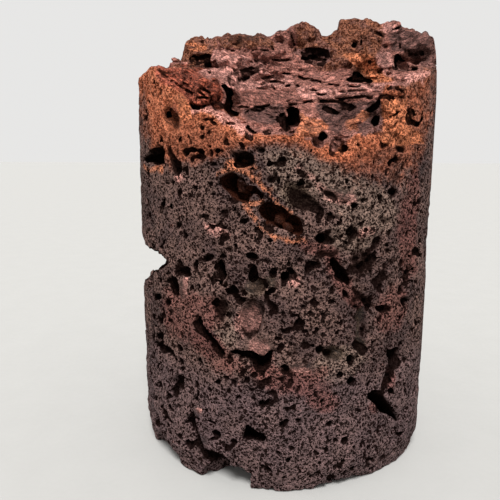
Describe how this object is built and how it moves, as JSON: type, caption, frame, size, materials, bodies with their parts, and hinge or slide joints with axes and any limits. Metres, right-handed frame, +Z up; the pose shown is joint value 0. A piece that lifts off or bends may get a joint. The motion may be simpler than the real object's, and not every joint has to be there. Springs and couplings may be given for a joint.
{
  "type": "scoria rock",
  "caption": "Upright column of porous red and dark scoria lava with a broken, hollowed top, a side notch, caverns and cracks.",
  "frame": {"origin": "on the surface it stands on, under the middle of the column", "axes": "+Z up along the column, -Y towards the front, which has the hollow and the twin cavern, +X to the right of the front"},
  "size_m": [0.1512, 0.152, 0.217],
  "materials": {
    "scoria": "rough, porous, unpolished; rust orange round the broken top, mauve inside it, dark purple-grey below"
  },
  "bodies": {
    "root": {"scoria_rock": "scoria"}
  },
  "joints": []
}
